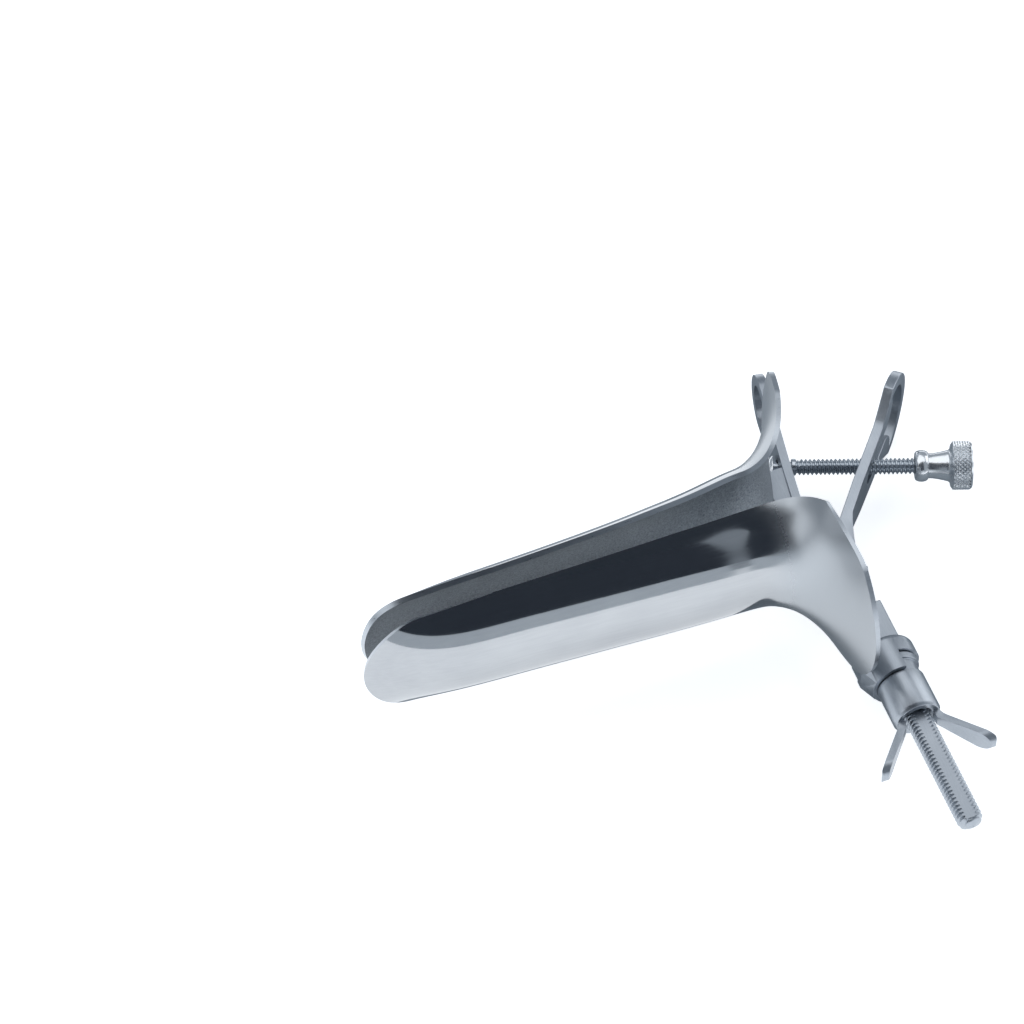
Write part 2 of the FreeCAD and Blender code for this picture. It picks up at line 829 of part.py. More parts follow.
def make_rod():
    """Threaded rod: neck through the front lever, ring and screwed length."""
    return turned(
        "clamp_rod",
        ("-rivet_start", "0"),
        ("-rivet_start", "rod_neck_radius"),
        ("rod_ring_start", "rod_neck_radius"),
        ("rod_ring_start", "rod_ring_radius"),
        ("rod_ring_start + rod_ring_width", "rod_ring_radius"),
        ("rod_ring_start + rod_ring_width", "rod_radius * 0.84"),
        ("rod_thread_start", "rod_radius * 0.84"),
        ("rod_thread_start + 0.4", "rod_radius"),
        ("rod_end", "rod_radius"),
        ("rod_end", "0"),
        ("-rivet_start", "0"),
    )


def make_rivet():
    """Domed head that keeps the rod in the front lever."""
    return turned(
        "rod_rivet",
        ("-rivet_start", "0"),
        ("-rivet_start", "rivet_radius"),
        (
            "-rivet_start - rivet_height * 0.72",
            "rivet_radius * 0.74",
            "-rivet_start - rivet_height",
            "rivet_radius * 0.3",
        ),
        ("-rivet_start - rivet_height", "0"),
        ("-rivet_start", "0"),
    )


def make_cap():
    """Small cap on the rod's end that keeps the thumb nut."""
    return turned(
        "rod_end_cap",
        ("rod_end", "0"),
        ("rod_end", "cap_radius"),
        ("rod_end + cap_height * 0.6", "cap_radius"),
        ("rod_end + cap_height", "cap_radius * 0.7"),
        ("rod_end + cap_height", "0"),
        ("rod_end", "0"),
    )


def make_thumb_nut():
    """Thumb nut: bead, cone, drum for the knurl and a recess round the cap."""
    bore = "rod_radius + running_fit"
    drum = "thumb_start + head_start"
    outer = "thumb_start + head_start + head_width"
    return turned(
        "thumb_nut",
        ("thumb_start", bore),
        ("thumb_start", "bead_radius * 0.8"),
        (
            "thumb_start + bead_width / 2",
            "bead_radius",
            "thumb_start + bead_width",
            "bead_radius * 0.8",
        ),
        ("thumb_start + bead_width", "cone_small_radius"),
        ("%s - 0.9" % drum, "cone_large_radius"),
        (
            "%s - 0.3" % drum,
            "cone_large_radius + 0.5",
            drum,
            "head_radius - 0.7",
        ),
        ("%s + 0.5" % drum, "head_radius"),
        ("%s - 0.5" % outer, "head_radius"),
        (outer, "head_radius - 0.5"),
        (outer, "recess_radius"),
        ("%s - recess_depth" % outer, "recess_radius"),
        ("%s - recess_depth" % outer, bore),
        ("thumb_start", bore),
    )


lower_blade = make_blade(
    "lower_blade",
    -1,
    (
        "tip_reach",
        "lower_rim_reach",
        "rim_half_width",
        "lower_tip_edge",
        "lower_throat_edge",
        "lower_corner_y",
        "lower_rim_y",
        "lower_swell",
    ),
)
upper_blade = make_blade(
    "upper_blade",
    1,
    (
        "upper_tip_reach",
        "upper_rim_reach",
        "upper_rim_half_width",
        "upper_tip_edge",
        "upper_throat_edge",
        "upper_corner_y",
        "upper_rim_y",
        "upper_swell",
    ),
)
pieces = [
    make_post(),
    make_rear_lever(),
    make_front_lever(),
    make_hinge_pin(),
    lower_blade,
    upper_blade,
    make_bracket(),
    make_collar(),
    make_wing_nut(),
    make_wings(),
    make_rod(),
    make_rivet(),
    make_cap(),
    make_thumb_nut(),
]
doc.recompute()

for obj in doc.Objects:
    if "Invalid" in obj.State or "Error" in obj.State:
        raise RuntimeError("%s failed: %s" % (obj.Label, obj.State))
os.makedirs("parts", exist_ok=True)
for piece in pieces:
    shape = piece.Shape
    if shape.isNull() or not shape.isValid():
        raise RuntimeError("%s has no valid shape" % piece.Label)
for piece in pieces:
    shape = piece.Shape
    shape.exportStep("parts/%s.step" % piece.Label)
    print("%-16s %d solid(s) %9.2f mm3" % (piece.Label, len(shape.Solids), shape.Volume))
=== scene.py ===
"""Looks of a stainless bivalve speculum with a one-sided screw mechanism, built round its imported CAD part."""

import logging
import math
from dataclasses import dataclass, field
from enum import Enum
from typing import Callable, Iterable, Sequence

import bmesh
import bpy
import numpy as np
from mathutils import Matrix, Vector


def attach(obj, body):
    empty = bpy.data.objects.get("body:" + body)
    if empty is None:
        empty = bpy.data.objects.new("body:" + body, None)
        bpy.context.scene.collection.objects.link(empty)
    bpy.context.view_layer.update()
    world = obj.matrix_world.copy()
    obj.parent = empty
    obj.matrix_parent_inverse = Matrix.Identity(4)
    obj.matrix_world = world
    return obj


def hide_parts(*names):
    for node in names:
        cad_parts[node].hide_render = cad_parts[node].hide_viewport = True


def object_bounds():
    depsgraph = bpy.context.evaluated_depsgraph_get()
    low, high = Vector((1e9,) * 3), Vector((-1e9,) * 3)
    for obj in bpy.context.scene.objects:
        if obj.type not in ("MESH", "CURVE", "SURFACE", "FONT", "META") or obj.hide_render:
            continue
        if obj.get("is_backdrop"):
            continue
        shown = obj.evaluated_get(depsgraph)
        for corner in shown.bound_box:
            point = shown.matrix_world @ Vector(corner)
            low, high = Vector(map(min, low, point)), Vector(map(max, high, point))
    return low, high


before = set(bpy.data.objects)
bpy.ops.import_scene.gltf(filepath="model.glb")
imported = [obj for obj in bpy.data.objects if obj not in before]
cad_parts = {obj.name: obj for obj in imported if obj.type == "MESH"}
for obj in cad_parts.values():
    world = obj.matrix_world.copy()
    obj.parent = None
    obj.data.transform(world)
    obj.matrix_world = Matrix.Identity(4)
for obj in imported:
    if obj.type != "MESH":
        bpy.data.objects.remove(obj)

LOG = logging.getLogger("speculum")
MM = 0.001
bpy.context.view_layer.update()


class Side(Enum):
    """Side of the mid plane that a blade's trough bulges to, as the sign of Y."""

    LOWER = -1
    UPPER = 1


def linear(colour: str) -> tuple[float, float, float, float]:
    """Turns an sRGB hex colour into linear light.

    Args:
        colour: six hex digits after a hash sign.

    Returns:
        Red, green, blue and an alpha of one.
    """
    parts = [int(colour[i : i + 2], 16) / 255 for i in (1, 3, 5)]
    light = [v / 12.92 if v <= 0.04045 else ((v + 0.055) / 1.055) ** 2.4 for v in parts]
    return (light[0], light[1], light[2], 1.0)


def add_node(
    tree: bpy.types.NodeTree, kind: str, settings: dict[str, object], links: dict[str, object]
) -> bpy.types.Node:
    """Adds one shader node.

    Args:
        tree: node tree that gets the node.
        kind: Blender's name of the node type.
        settings: socket values, and the node's own properties after an "@".
        links: output sockets to join to the node's inputs, by input name.

    Returns:
        The new node.
    """
    node = tree.nodes.new(kind)
    for name, value in settings.items():
        if name.startswith("@"):
            setattr(node, name[1:], value)
        else:
            socket = node.inputs[int(name)] if name.isdigit() else node.inputs[name]
            socket.default_value = value
    for name, output in links.items():
        socket = node.inputs[int(name)] if name.isdigit() else node.inputs[name]
        tree.links.new(output, socket)
    return node


@dataclass(frozen=True)
class Steel:
    """Stainless steel as one surface finish leaves it.

    Colours are sRGB hex, and sizes ending in _mm are millimetres. The grain's stretch is how
    many times longer it runs along X, Y and Z. A finish with a fade roughness gets rougher and
    turns to the fade colour between two places along X.
    """

    name: str
    colour: str
    shade: str
    roughness: float
    roughness_spread: float
    grain_mm: float
    grain_stretch: tuple[float, float, float]
    bump_mm: float
    cloud_mm: float = 14.0
    fade_from_mm: float = 0.0
    fade_to_mm: float = 0.0
    fade_roughness: float = 0.0
    fade_colour: str = "#FFFFFF"
    grain_weight: float = 0.7

    def material(self) -> bpy.types.Material:
        """Returns the finish's material, made once."""
        made = bpy.data.materials.get(self.name)
        if made:
            return made
        made = bpy.data.materials.new(self.name)
        made.use_nodes = True
        tree = made.node_tree
        tree.nodes.clear()
        place = add_node(tree, "ShaderNodeTexCoord", {}, {})
        stretch = tuple(1 / v for v in self.grain_stretch)
        turned = add_node(
            tree, "ShaderNodeMapping", {"Scale": stretch}, {"Vector": place.outputs["Object"]}
        )
        grain = add_node(
            tree,
            "ShaderNodeTexNoise",
            {"Scale": 1 / (self.grain_mm * MM), "Detail": 3.0, "Roughness": 0.6},
            {"Vector": turned.outputs[0]},
        )
        cloud = add_node(
            tree,
            "ShaderNodeTexNoise",
            {"Scale": 1 / (self.cloud_mm * MM), "Detail": 2.0},
            {"Vector": place.outputs["Object"]},
        )
        both = add_node(
            tree,
            "ShaderNodeMath",
            {"@operation": "MULTIPLY_ADD", "1": self.grain_weight},
            {"0": grain.outputs["Fac"], "2": cloud.outputs["Fac"]},
        )
        middle, spread = 0.5 + 0.5 * self.grain_weight, 0.1 + 0.25 * self.grain_weight
        tint = add_node(
            tree,
            "ShaderNodeMapRange",
            {"From Min": middle - spread, "From Max": middle + spread, "To Min": 0.0, "To Max": 1.0},
            {"Value": both.outputs[0]},
        )
        colour = add_node(
            tree,
            "ShaderNodeMix",
            {"@data_type": "RGBA", "6": linear(self.shade), "7": linear(self.colour)},
            {"0": tint.outputs[0]},
        )
        rough = add_node(
            tree,
            "ShaderNodeMapRange",
            {
                "From Min": 0.3,
                "From Max": 0.7,
                "To Min": max(0.02, self.roughness - self.roughness_spread),
                "To Max": self.roughness + self.roughness_spread,
            },
            {"Value": grain.outputs["Fac"]},
        )
        shown = rough.outputs[0]
        tone = colour.outputs[2]
        if self.fade_roughness:
            parts = add_node(
                tree, "ShaderNodeSeparateXYZ", {}, {"Vector": place.outputs["Object"]}
            )
            fade = add_node(
                tree,
                "ShaderNodeMapRange",
                {
                    "@interpolation_type": "SMOOTHSTEP",
                    "From Min": self.fade_from_mm * MM,
                    "From Max": self.fade_to_mm * MM,
                    "To Min": 0.0,
                    "To Max": 1.0,
                },
                {"Value": parts.outputs["X"]},
            )
            shown = add_node(
                tree,
                "ShaderNodeMath",
                {"@operation": "MULTIPLY_ADD", "1": self.fade_roughness},
                {"0": fade.outputs[0], "2": rough.outputs[0]},
            ).outputs[0]
            tone = add_node(
                tree,
                "ShaderNodeMix",
                {"@data_type": "RGBA", "7": linear(self.fade_colour)},
                {"0": fade.outputs[0], "6": colour.outputs[2]},
            ).outputs[2]
        bump = add_node(
            tree,
            "ShaderNodeBump",
            {"Strength": 1.0, "Distance": self.bump_mm * MM},
            {"Height": grain.outputs["Fac"]},
        )
        shader = add_node(
            tree,
            "ShaderNodeBsdfPrincipled",
            {"Metallic": 1.0},
            {
                "Base Color": tone,
                "Roughness": shown,
                "Normal": bump.outputs[0],
            },
        )
        add_node(tree, "ShaderNodeOutputMaterial", {}, {"Surface": shader.outputs[0]})
        return made


# Mirror polish gives the eye hard-edged reflections of the room; it turns satin at the mouth, where its fade
# colour also darkens it a little as painted shade.
MIRROR_POLISHED = Steel(
    name="mirror_polished_stainless",
    colour="#B9BCBF",
    shade="#AFB2B6",
    roughness=0.07,
    roughness_spread=0.015,
    grain_mm=0.6,
    grain_stretch=(18.0, 1.0, 1.0),
    bump_mm=0.0006,
    fade_from_mm=-27.0,
    fade_to_mm=-17.0,
    fade_roughness=0.24,
    # The fade colour is painted shade on the satin mouth.
    fade_colour="#B0B5BA",
)
# Edges rubbed bright give the thin light lines round every sheet.
BRIGHT_EDGE = Steel(
    name="bright_edge_stainless",
    colour="#BCC2C8",
    shade="#ABB1B8",
    roughness=0.3,
    roughness_spread=0.03,
    grain_mm=0.5,
    grain_stretch=(6.0, 1.0, 1.0),
    bump_mm=0.0008,
)
# Bead blasting gives a dull slate grey with a fine even grain, drawn coarser than the beads.
BEAD_BLASTED = Steel(
    name="bead_blasted_stainless",
    colour="#C2C8CE",
    shade="#6E757C",
    roughness=0.55,
    roughness_spread=0.12,
    grain_mm=0.4,
    grain_stretch=(1.0, 1.0, 1.0),
    bump_mm=0.04,
    grain_weight=4.0,
)
# Satin brushing gives soft wide highlights and a faint grain along the part.
SATIN_BRUSHED = Steel(
    name="satin_brushed_stainless",
    colour="#B4BAC1",
    shade="#9DA4AC",
    roughness=0.34,
    roughness_spread=0.04,
    grain_mm=0.3,
    grain_stretch=(1.0, 7.0, 1.0),
    bump_mm=0.0012,
)
# A cut thread gives sharp bright crests over dark roots.
CUT_THREAD = Steel(
    name="cut_thread_stainless",
    colour="#CED4DA",
    shade="#B4BAC1",
    roughness=0.22,
    roughness_spread=0.05,
    grain_mm=0.25,
    grain_stretch=(1.0, 1.0, 1.0),
    bump_mm=0.002,
)
# Turning and knurling leave a bright surface that sparkles on each diamond.
TURNED_BRIGHT = Steel(
    name="turned_bright_stainless",
    colour="#EEF0F2",
    shade="#DDE1E5",
    roughness=0.22,
    roughness_spread=0.05,
    grain_mm=0.3,
    grain_stretch=(1.0, 1.0, 1.0),
    bump_mm=0.0015,
)

# Painted shade: the knurl's grooves get a darker steel so they stay dark between the bright diamonds.
GROOVE_SHADOW = Steel(
    name="painted_groove_shade_stainless",
    colour="#6A7178",
    shade="#545A61",
    roughness=0.5,
    roughness_spread=0.08,
    grain_mm=0.3,
    grain_stretch=(1.0, 1.0, 1.0),
    bump_mm=0.004,
)


@dataclass
class Solid:
    """Mesh in the making: points in millimetres and faces, with one finish index per face."""

    points: list[tuple[float, float, float]] = field(default_factory=list)
    faces: list[tuple[int, ...]] = field(default_factory=list)

    def grid(self, rows: np.ndarray, closed: bool = True) -> None:
        """Adds a skin over rows of points.

        Args:
            rows: array of rows, points in each row and three coordinates.
            closed: whether the last point of a row joins its first.
        """
        base = len(self.points)
        count = rows.shape[1]
        self.points.extend(map(tuple, rows.reshape(-1, 3)))
        last = count if closed else count - 1
        for r in range(rows.shape[0] - 1):
            for c in range(last):
                d = (c + 1) % count
                a = base + r * count
                self.faces.append((a + c, a + d, a + count + d, a + count + c))

    def block(self, outline: Sequence[tuple[float, float]], low: float, high: float) -> None:
        """Adds a plate.

        Args:
            outline: its corners in X and Y.
            low: its lower face's height.
            high: its upper face's height.
        """
        base = len(self.points)
        count = len(outline)
        self.points.extend((x, y, low) for x, y in outline)
        self.points.extend((x, y, high) for x, y in outline)
        self.faces.append(tuple(range(base + count - 1, base - 1, -1)))
        self.faces.append(tuple(range(base + count, base + 2 * count)))
        for i in range(count):
            j = (i + 1) % count
            self.faces.append((base + i, base + j, base + count + j, base + count + i))

    def piece(self, name: str, place: Matrix | None = None) -> bpy.types.Object:
        """Makes the Blender object.

        Args:
            name: the object's name.
            place: turn and shift in millimetres, where the points aren't in the row's frame.

        Returns:
            The object, smooth shaded, with its normals outwards.
        """
        mesh = bpy.data.meshes.new(name)
        moved = [place @ Vector(p) if place else Vector(p) for p in self.points]
        mesh.from_pydata([p * MM for p in moved], [], self.faces)
        work = bmesh.new()
        work.from_mesh(mesh)
        bmesh.ops.remove_doubles(work, verts=work.verts, dist=0.002 * MM)
        bmesh.ops.recalc_face_normals(work, faces=work.faces)
        work.to_mesh(mesh)
        work.free()
        obj = bpy.data.objects.new(name, mesh)
        bpy.context.scene.collection.objects.link(obj)
        smooth(obj)
        return obj


def smooth(obj: bpy.types.Object, angle: float = 38.0) -> None:
    """Shades a mesh smooth.

    Args:
        obj: the piece.
        angle: edges sharper than this, in degrees, stay crisp.
    """
    obj.data.shade_smooth()
    obj.data.set_sharp_from_angle(angle=math.radians(angle))


def round_edges(obj: bpy.types.Object, width_mm: float, angle: float = 38.0) -> None:
    """Rounds the sharp edges of a piece as a maker breaks them.

    Args:
        obj: the piece.
        width_mm: the round's width.
        angle: edges sharper than this, in degrees, are rounded.
    """
    bevel = obj.modifiers.new("broken_edges", "BEVEL")
    bevel.width = width_mm * MM
    bevel.segments = 3
    bevel.limit_method = "ANGLE"
    bevel.angle_limit = math.radians(angle)
    bevel.harden_normals = True


def finish_piece(
    obj: bpy.types.Object, body: str, slot: str, finishes: Iterable[Steel], *nodes: str
) -> None:
    """Dresses a piece and ties it to its body.

    Args:
        obj: the piece.
        body: the CAD body that it rides on.
        slot: the record's material slot.
        finishes: the finishes, in the order of the mesh's material indices.
        nodes: CAD nodes that the piece stands for.
    """
    obj.data.materials.clear()
    for steel in finishes:
        obj.data.materials.append(steel.material())
    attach(obj, body)
    if nodes:
        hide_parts(*nodes)
    LOG.info("%s rides on %s in %s", obj.name, body, slot)


@dataclass
class RoundedPart:
    """A CAD node with its edges broken, for pieces whose CAD outline is already right.

    The part of the piece beyond the drawn-in X and Y is moved in by the third value.
    """

    node: str
    body: str
    slot: str
    steel: Steel
    edge_mm: float = 0.3
    drawn_in: tuple[float, float, float] | None = None

    def build(self) -> bpy.types.Object:
        """Copies the node's mesh into a new piece and rounds its edges.

        Returns:
            The piece, not yet finished.
        """
        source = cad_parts[self.node]
        mesh = source.data.copy()
        work = bmesh.new()
        work.from_mesh(mesh)
        bmesh.ops.remove_doubles(work, verts=work.verts, dist=0.001 * MM)
        bmesh.ops.dissolve_limit(
            work,
            angle_limit=math.radians(0.4),
            verts=work.verts,
            edges=work.edges,
            delimit={"NORMAL"},
        )
        if self.drawn_in:
            x, y, shift = self.drawn_in
            for vert in work.verts:
                if vert.co.x < x * MM and vert.co.y < y * MM:
                    vert.co += Vector((shift, shift, 0)) * MM
        work.to_mesh(mesh)
        work.free()
        obj = bpy.data.objects.new(self.node + "_dressed", mesh)
        bpy.context.scene.collection.objects.link(obj)
        smooth(obj)
        round_edges(obj, self.edge_mm)
        return obj

    def dress(self) -> None:
        """Builds the piece and gives it its finish."""
        finish_piece(self.build(), self.body, self.slot, [self.steel], self.node)


@dataclass
class Blade:
    """Spoon-tipped trough that flares into the mouth. Sizes are the part's, in millimetres."""

    node: str
    body: str
    slot: str
    side: Side
    finishes: tuple[Steel, ...]
    tip_reach: float
    rim_reach: float
    rim_half_width: float
    tip_edge: float
    throat_edge: float
    corner_y: float
    rim_y: float
    swell: float
    sheet: float = 1.2
    mid_height: float = 22.0
    tip_half_width: float = 14.6
    base_half_width: float = 16.4
    trough_depth: float = 6.7
    throat_reach: float = 26.0
    bend_reach: float = 13.5
    rim_corner: float = 5.0
    trough_count: int = 10
    flare_count: int = 5
    tip_overrun: float = 1.0
    even_rise: float = 0.45
    tip_flatness: float = 0.86
    tip_share: float = 3.4
    swell_power: float = 1.4
    widening: float = 1.25
    flare_power: float = 1.8
    corner_power: float = 2.7
    taper_length: float = 16.0
    taper: float = 0.045
    open_plan: float = 1e3
    columns: int = 72
    first_turn: float = 4.0
    tip_rows: int = 34
    long_rows: int = 190
    edge_mm: float = 0.5
    edge_angle: float = 55.0

    def stations(self) -> np.ndarray:
        """Places the part's own sections.

        Returns:
            One row for each section: reach, half width, edge height and crown height.
        """
        sign = self.side.value
        rows = []
        for number in range(self.trough_count):
            a = number / self.trough_count
            rise = self.even_rise * a + (1 - self.even_rise) * a**5
            flat = self.tip_flatness * max(0.0, 1 - self.tip_share * a) ** 2
            full = 1 - flat + self.swell * a**self.swell_power
            edge = self.tip_edge * (1 - rise) + self.throat_edge * rise
            reach = (self.tip_reach + self.tip_overrun) * (1 - a) + self.throat_reach * a
            spread = self.base_half_width - self.tip_half_width
            half = self.tip_half_width + spread * min(1.0, a * self.widening)
            rows.append((reach, half, edge, edge + sign * self.trough_depth * full))
        for number in range(self.flare_count + 1):
            a = number / self.flare_count
            wide, drawn = a**self.flare_power, a**self.corner_power
            reach = self.throat_reach * (1 - a) ** 2 + self.bend_reach * 2 * a * (1 - a)
            half = self.base_half_width * (1 - wide) + self.rim_half_width * wide
            edge = self.throat_edge * (1 - drawn) + self.corner_y * drawn
            start = self.throat_edge + sign * self.trough_depth * (1 + self.swell)
            crown = start * (1 - a**2) + self.rim_y * a**2
            rows.append((reach + self.rim_reach * a**2, half, edge, crown))
        return np.array(rows)

    def plan_half_width(self, reach: float) -> float:
        """Works out what the plan's round tip and mouth corners leave of the width.

        Args:
            reach: distance from the hinge towards the tip.

        Returns:
            Half the width left, or a large number where the plan cuts nothing.
        """
        tip = reach - (self.tip_reach - self.tip_half_width)
        if tip > 0:
            return math.sqrt(max(0.0, self.tip_half_width**2 - tip**2))
        if tip > -self.taper_length:
            return self.tip_half_width - self.taper * tip
        corner = self.rim_reach + self.rim_corner - reach
        if corner > 0:
            inset = self.rim_corner - math.sqrt(max(0.0, self.rim_corner**2 - corner**2))
            return self.rim_half_width - inset
        return self.open_plan

    def rows(self) -> np.ndarray:
        """Lays out the outer skin.

        Returns:
            Its points, row by row from the tip to the mouth.
        """
        knots = self.stations()
        fine = np.linspace(0, len(knots) - 1, 1200)
        table = np.stack([cubic(knots[:, i], fine) for i in range(4)], axis=1)
        straight = self.tip_reach - self.tip_half_width
        turn = np.radians(np.linspace(self.first_turn, 90, self.tip_rows))
        wanted = straight + self.tip_half_width * np.cos(turn)
        at = list(np.interp(-wanted, -table[:, 0], fine))
        steps = np.hypot(np.diff(table[:, 0]), np.diff(table[:, 3]))
        length = np.concatenate([[0.0], np.cumsum(steps)])
        start = np.interp(at[-1], fine, length)
        at += list(np.interp(np.linspace(start, length[-1], self.long_rows)[1:], length, fine))
        exact = np.stack([cubic(knots[:, i], np.array(at)) for i in range(4)], axis=1)
        out = []
        for reach, half, edge, crown in exact:
            rise = abs(crown - edge)
            radius = (half**2 + rise**2) / (2 * rise)
            width = self.plan_half_width(reach)
            angle = 2 * math.atan2(rise, half)
            if width < half:
                angle = min(angle, math.asin(min(1.0, width / radius)))
            fan = np.linspace(-angle, angle, self.columns)
            y = crown - self.side.value * radius * (1 - np.cos(fan))
            z = self.mid_height + radius * np.sin(fan)
            out.append(np.stack([np.full_like(fan, -reach), y, z], axis=1))
        return np.array(out)

    def dress(self) -> None:
        """Builds the sheet with its thickness, its broken edges and its finishes."""
        skin = Solid()
        skin.grid(self.rows(), closed=False)
        obj = skin.piece(self.node + "_sheet")
        middle = obj.data.polygons[len(obj.data.polygons) // 2]
        if middle.normal.y * self.side.value < 0:
            obj.data.flip_normals()
        solid = obj.modifiers.new("sheet_thickness", "SOLIDIFY")
        solid.thickness = self.sheet * MM
        solid.offset = -1.0
        solid.use_even_offset = True
        solid.material_offset = 1
        solid.material_offset_rim = 2
        round_edges(obj, self.edge_mm, self.edge_angle)
        finish_piece(obj, self.body, self.slot, self.finishes, self.node)


def cubic(values: np.ndarray, at: np.ndarray) -> np.ndarray:
    """Draws a natural cubic curve through evenly spaced values.

    Args:
        values: the values at 0, 1, 2 and so on.
        at: where the curve is wanted.

    Returns:
        The curve's values there.
    """
    count = len(values)
    system = np.diag(np.full(count, 4.0)) + np.diag(np.ones(count - 1), 1)
    system += np.diag(np.ones(count - 1), -1)
    system[0, :2] = (1, 0)
    system[-1, -2:] = (0, 1)
    right = np.zeros(count)
    right[1:-1] = 6 * (values[2:] - 2 * values[1:-1] + values[:-2])
    bend = np.linalg.solve(system, right)
    i = np.clip(at.astype(int), 0, count - 2)
    t = at - i
    a, b = values[i], values[i + 1]
    p, q = bend[i], bend[i + 1]
    return a + t * (b - a) - t * (1 - t) * ((2 - t) * p + (1 + t) * q) / 6


@dataclass
class Gusset:
    """Brazed foot that joins the upper blade's mouth to the front lever's plate."""

    lean: float = 8.2
    face: float = 7.9
    low: float = 16.0
    high: float = 33.0
    heel: float = -5.2
    bulge: float = 3.2
    first_turn: float = 0.1
    under: float = -3.2
    over: float = 4.6
    edge_mm: float = 0.5

    def on_plate(self, along: float) -> tuple[float, float]:
        """Returns the point of the lever's front face at a distance from the hinge."""
        c, s = math.cos(math.radians(self.lean)), math.sin(math.radians(self.lean))
        return (along * s - self.face * c, along * c + self.face * s)

    def dress(self) -> None:
        """Builds the foot with its rounded foot line."""
        solid = Solid()
        low, high = self.on_plate(self.low), self.on_plate(self.high)
        sweep = [
            (self.heel - self.bulge * math.sin(t), high[1] - (high[1] - low[1]) * (1 - math.cos(t)) / 2)
            for t in np.linspace(self.first_turn, math.pi - self.first_turn, 14)
        ]
        solid.block([low, high, *sweep], self.under, self.over)
        obj = solid.piece("mouth_gusset")
        round_edges(obj, self.edge_mm)
        finish_piece(obj, "upper_half", "satin_steel", [SATIN_BRUSHED], "blade_bracket")


@dataclass
class Thread:
    """Screw thread: crest radius, depth and pitch in millimetres, and the flank's form."""

    crest: float
    depth: float
    pitch: float
    crest_share: float = 0.15
    steepness: float = 1.45

    def radius(self, along: np.ndarray, angle: np.ndarray) -> np.ndarray:
        """Works out the flank's radius.

        Args:
            along: places along the screw.
            angle: angles round it, in radians.

        Returns:
            The radius at each of them.
        """
        phase = (along / self.pitch - angle / (2 * math.pi)) % 1.0
        flank = np.abs(phase * 2 - 1)
        return self.crest - self.depth * np.clip((flank - self.crest_share) * self.steepness, 0, 1)


def turned_rows(
    along: np.ndarray, radius: Callable[[np.ndarray, np.ndarray], np.ndarray], around: int
) -> np.ndarray:
    """Returns rows of points of a piece turned round +X.

    Args:
        along: places along the axis, one per row.
        radius: gives the radius for arrays of places and angles.
        around: points in each row.

    Returns:
        Array of rows, points and coordinates.
    """
    angle = np.linspace(0, 2 * math.pi, around, endpoint=False)
    x, a = np.meshgrid(along, angle, indexing="ij")
    r = radius(x, a)
    return np.stack([x, r * np.cos(a), r * np.sin(a)], axis=2)


@dataclass
class Post:
    """Post with flats: hinge tongue, guide block and threaded stem with a domed end."""

    radius: float = 2.95
    thickness: float = 4.0
    end: float = 70.2
    block_half_width: float = 4.3
    block_top: float = 8.0
    block_end: float = 22.0
    tongue_half_width: float = 2.7
    tongue_thickness: float = 3.2
    tongue_root: float = 1.0
    thread_root: float = 0.2
    dome_share: float = 0.7
    dimple_share: float = 0.45
    dimple_lip: float = 0.05
    dimple_floor_share: float = 0.3
    dimple_depth: float = 0.45
    edge_mm: float = 0.3
    thread: Thread = field(default_factory=lambda: Thread(2.95, 0.7, 1.0))

    def stem(self) -> np.ndarray:
        """Lays out the threaded stem, with its threads cut away on both flats.

        Returns:
            Its points, row by row from the block to the dimple in its end.
        """
        dome = self.dome_share * self.radius
        straight = self.end - dome
        along = np.arange(self.block_end - self.thread_root, straight, self.thread.pitch / 10)
        along = np.append(along, straight + dome * np.sin(np.radians(np.linspace(2, 84, 14))))

        def radius(x: np.ndarray, a: np.ndarray) -> np.ndarray:
            """Returns the thread's radius, drawn in over the domed end."""
            drop = np.clip((x - straight) / dome, 0, 1)
            return np.sqrt(1 - drop**2) * self.thread.radius(x, a)

        rows = turned_rows(along, radius, 96)
        dimple = rows[-1:].copy()
        dimple[:, :, 1:] *= self.dimple_share
        dimple[:, :, 0] += self.dimple_lip
        floor = dimple.copy()
        floor[:, :, 1:] *= self.dimple_floor_share
        floor[:, :, 0] -= self.dimple_depth
        rows = np.concatenate([rows, dimple, floor])
        half = self.thickness / 2
        return np.stack([rows[..., 1], -rows[..., 0], np.clip(rows[..., 2], -half, half)], axis=2)

    def dress(self) -> None:
        """Builds the threaded stem, and the guide block with the hinge tongue."""
        solid = Solid()
        solid.grid(self.stem())
        stem = solid.piece("threaded_post")
        body = Solid()
        w, top, end = self.block_half_width, -self.block_top, -self.block_end
        half = self.thickness / 2
        body.block([(-w, end), (w, end), (w, top), (-w, top)], -half, half)
        r, root = self.tongue_half_width, top - self.tongue_root
        arc = [(r * math.cos(t), r * math.sin(t)) for t in np.linspace(0, math.pi, 25)]
        half = self.tongue_thickness / 2
        body.block([(-r, root), (r, root), *arc], -half, half)
        block = body.piece("guide_block")
        round_edges(block, self.edge_mm)
        finish_piece(stem, "frame", "satin_steel", [SATIN_BRUSHED], "slide_post")
        finish_piece(block, "frame", "satin_steel", [SATIN_BRUSHED])


